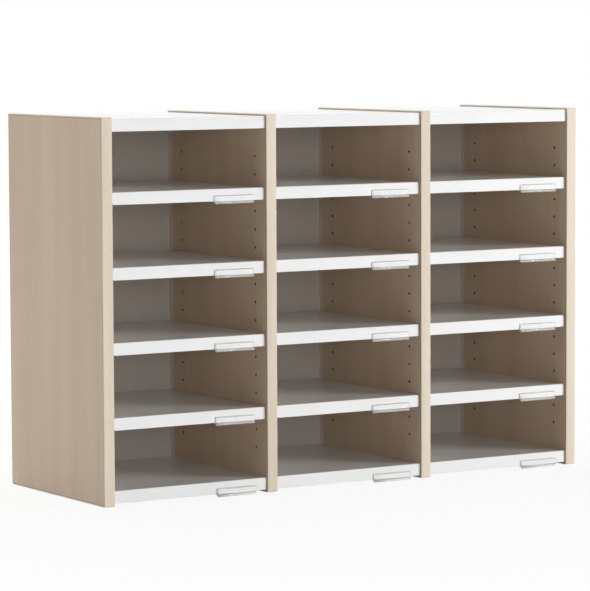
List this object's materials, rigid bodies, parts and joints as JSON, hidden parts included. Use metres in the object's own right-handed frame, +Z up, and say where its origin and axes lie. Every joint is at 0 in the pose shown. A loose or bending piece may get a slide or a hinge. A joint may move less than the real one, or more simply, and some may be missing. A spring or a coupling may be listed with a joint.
{
  "type": "literature sorter",
  "caption": "Free-standing literature sorter: laminated uprights with rows of pin holes carry lipped steel shelves in columns, with clear label holders on the lips and sheet backs.",
  "frame": {"origin": "on the floor, in the middle of the footprint, label holders included", "axes": "+X to the right across the columns, the front faces -Y, +Z up"},
  "size_m": [0.995, 0.3488, 0.662],
  "materials": {
    "laminate": "matt beige laminate with a faint upright grain",
    "edge_band": "pale beige plastic edge band",
    "shelf_paint": "white satin powder coat on folded sheet",
    "back_paint": "warm grey satin paint on folded sheet",
    "pin_steel": "bright zinc",
    "screw_steel": "bright zinc",
    "clear_plastic": "clear extruded plastic",
    "card": "uncoated white card"
  },
  "bodies": {
    "carcass": {"left_end_panel": "laminate", "left_end_panel_edge_band": "edge_band", "left_divider": "laminate", "left_divider_edge_band": "edge_band", "right_divider": "laminate", "right_divider_edge_band": "edge_band", "right_end_panel": "laminate", "right_end_panel_edge_band": "edge_band", "left_top_shelf": "shelf_paint", "left_bottom_shelf": "shelf_paint", "left_back_panel": "back_paint", "middle_top_shelf": "shelf_paint", "middle_bottom_shelf": "shelf_paint", "middle_back_panel": "back_paint", "right_top_shelf": "shelf_paint", "right_bottom_shelf": "shelf_paint", "right_back_panel": "back_paint", "bottom_label_holders": "clear_plastic", "shelf_pins": "pin_steel", "shelf_screws": "screw_steel", "back_screws": "screw_steel"},
    "left_bottom_card": {"left_bottom_label_card": "card"},
    "left_tray_1": {"left_shelf_1": "shelf_paint", "left_label_holder_1": "clear_plastic"},
    "left_card_1": {"left_label_card_1": "card"},
    "left_tray_2": {"left_shelf_2": "shelf_paint", "left_label_holder_2": "clear_plastic"},
    "left_card_2": {"left_label_card_2": "card"},
    "left_tray_3": {"left_shelf_3": "shelf_paint", "left_label_holder_3": "clear_plastic"},
    "left_card_3": {"left_label_card_3": "card"},
    "left_tray_4": {"left_shelf_4": "shelf_paint", "left_label_holder_4": "clear_plastic"},
    "left_card_4": {"left_label_card_4": "card"},
    "middle_bottom_card": {"middle_bottom_label_card": "card"},
    "middle_tray_1": {"middle_shelf_1": "shelf_paint", "middle_label_holder_1": "clear_plastic"},
    "middle_card_1": {"middle_label_card_1": "card"},
    "middle_tray_2": {"middle_shelf_2": "shelf_paint", "middle_label_holder_2": "clear_plastic"},
    "middle_card_2": {"middle_label_card_2": "card"},
    "middle_tray_3": {"middle_shelf_3": "shelf_paint", "middle_label_holder_3": "clear_plastic"},
    "middle_card_3": {"middle_label_card_3": "card"},
    "middle_tray_4": {"middle_shelf_4": "shelf_paint", "middle_label_holder_4": "clear_plastic"},
    "middle_card_4": {"middle_label_card_4": "card"},
    "right_bottom_card": {"right_bottom_label_card": "card"},
    "right_tray_1": {"right_shelf_1": "shelf_paint", "right_label_holder_1": "clear_plastic"},
    "right_card_1": {"right_label_card_1": "card"},
    "right_tray_2": {"right_shelf_2": "shelf_paint", "right_label_holder_2": "clear_plastic"},
    "right_card_2": {"right_label_card_2": "card"},
    "right_tray_3": {"right_shelf_3": "shelf_paint", "right_label_holder_3": "clear_plastic"},
    "right_card_3": {"right_label_card_3": "card"},
    "right_tray_4": {"right_shelf_4": "shelf_paint", "right_label_holder_4": "clear_plastic"},
    "right_card_4": {"right_label_card_4": "card"}
  },
  "joints": [
    {"name": "left_bottom_card_slide_out", "type": "slide", "parent": "carcass", "child": "left_bottom_card", "axis": [-1, 0, 0], "range_m": [0, 0.078]},
    {"name": "left_shelf_1_pull_out", "type": "slide", "parent": "carcass", "child": "left_tray_1", "axis": [0, -1, 0], "range_m": [0, 0.35]},
    {"name": "left_card_1_slide_out", "type": "slide", "parent": "left_tray_1", "child": "left_card_1", "axis": [-1, 0, 0], "range_m": [0, 0.078]},
    {"name": "left_shelf_2_pull_out", "type": "slide", "parent": "carcass", "child": "left_tray_2", "axis": [0, -1, 0], "range_m": [0, 0.35]},
    {"name": "left_card_2_slide_out", "type": "slide", "parent": "left_tray_2", "child": "left_card_2", "axis": [-1, 0, 0], "range_m": [0, 0.078]},
    {"name": "left_shelf_3_pull_out", "type": "slide", "parent": "carcass", "child": "left_tray_3", "axis": [0, -1, 0], "range_m": [0, 0.35]},
    {"name": "left_card_3_slide_out", "type": "slide", "parent": "left_tray_3", "child": "left_card_3", "axis": [-1, 0, 0], "range_m": [0, 0.078]},
    {"name": "left_shelf_4_pull_out", "type": "slide", "parent": "carcass", "child": "left_tray_4", "axis": [0, -1, 0], "range_m": [0, 0.35]},
    {"name": "left_card_4_slide_out", "type": "slide", "parent": "left_tray_4", "child": "left_card_4", "axis": [-1, 0, 0], "range_m": [0, 0.078]},
    {"name": "middle_bottom_card_slide_out", "type": "slide", "parent": "carcass", "child": "middle_bottom_card", "axis": [-1, 0, 0], "range_m": [0, 0.078]},
    {"name": "middle_shelf_1_pull_out", "type": "slide", "parent": "carcass", "child": "middle_tray_1", "axis": [0, -1, 0], "range_m": [0, 0.35]},
    {"name": "middle_card_1_slide_out", "type": "slide", "parent": "middle_tray_1", "child": "middle_card_1", "axis": [-1, 0, 0], "range_m": [0, 0.078]},
    {"name": "middle_shelf_2_pull_out", "type": "slide", "parent": "carcass", "child": "middle_tray_2", "axis": [0, -1, 0], "range_m": [0, 0.35]},
    {"name": "middle_card_2_slide_out", "type": "slide", "parent": "middle_tray_2", "child": "middle_card_2", "axis": [-1, 0, 0], "range_m": [0, 0.078]},
    {"name": "middle_shelf_3_pull_out", "type": "slide", "parent": "carcass", "child": "middle_tray_3", "axis": [0, -1, 0], "range_m": [0, 0.35]},
    {"name": "middle_card_3_slide_out", "type": "slide", "parent": "middle_tray_3", "child": "middle_card_3", "axis": [-1, 0, 0], "range_m": [0, 0.078]},
    {"name": "middle_shelf_4_pull_out", "type": "slide", "parent": "carcass", "child": "middle_tray_4", "axis": [0, -1, 0], "range_m": [0, 0.35]},
    {"name": "middle_card_4_slide_out", "type": "slide", "parent": "middle_tray_4", "child": "middle_card_4", "axis": [-1, 0, 0], "range_m": [0, 0.078]},
    {"name": "right_bottom_card_slide_out", "type": "slide", "parent": "carcass", "child": "right_bottom_card", "axis": [-1, 0, 0], "range_m": [0, 0.078]},
    {"name": "right_shelf_1_pull_out", "type": "slide", "parent": "carcass", "child": "right_tray_1", "axis": [0, -1, 0], "range_m": [0, 0.35]},
    {"name": "right_card_1_slide_out", "type": "slide", "parent": "right_tray_1", "child": "right_card_1", "axis": [-1, 0, 0], "range_m": [0, 0.078]},
    {"name": "right_shelf_2_pull_out", "type": "slide", "parent": "carcass", "child": "right_tray_2", "axis": [0, -1, 0], "range_m": [0, 0.35]},
    {"name": "right_card_2_slide_out", "type": "slide", "parent": "right_tray_2", "child": "right_card_2", "axis": [-1, 0, 0], "range_m": [0, 0.078]},
    {"name": "right_shelf_3_pull_out", "type": "slide", "parent": "carcass", "child": "right_tray_3", "axis": [0, -1, 0], "range_m": [0, 0.35]},
    {"name": "right_card_3_slide_out", "type": "slide", "parent": "right_tray_3", "child": "right_card_3", "axis": [-1, 0, 0], "range_m": [0, 0.078]},
    {"name": "right_shelf_4_pull_out", "type": "slide", "parent": "carcass", "child": "right_tray_4", "axis": [0, -1, 0], "range_m": [0, 0.35]},
    {"name": "right_card_4_slide_out", "type": "slide", "parent": "right_tray_4", "child": "right_card_4", "axis": [-1, 0, 0], "range_m": [0, 0.078]}
  ]
}
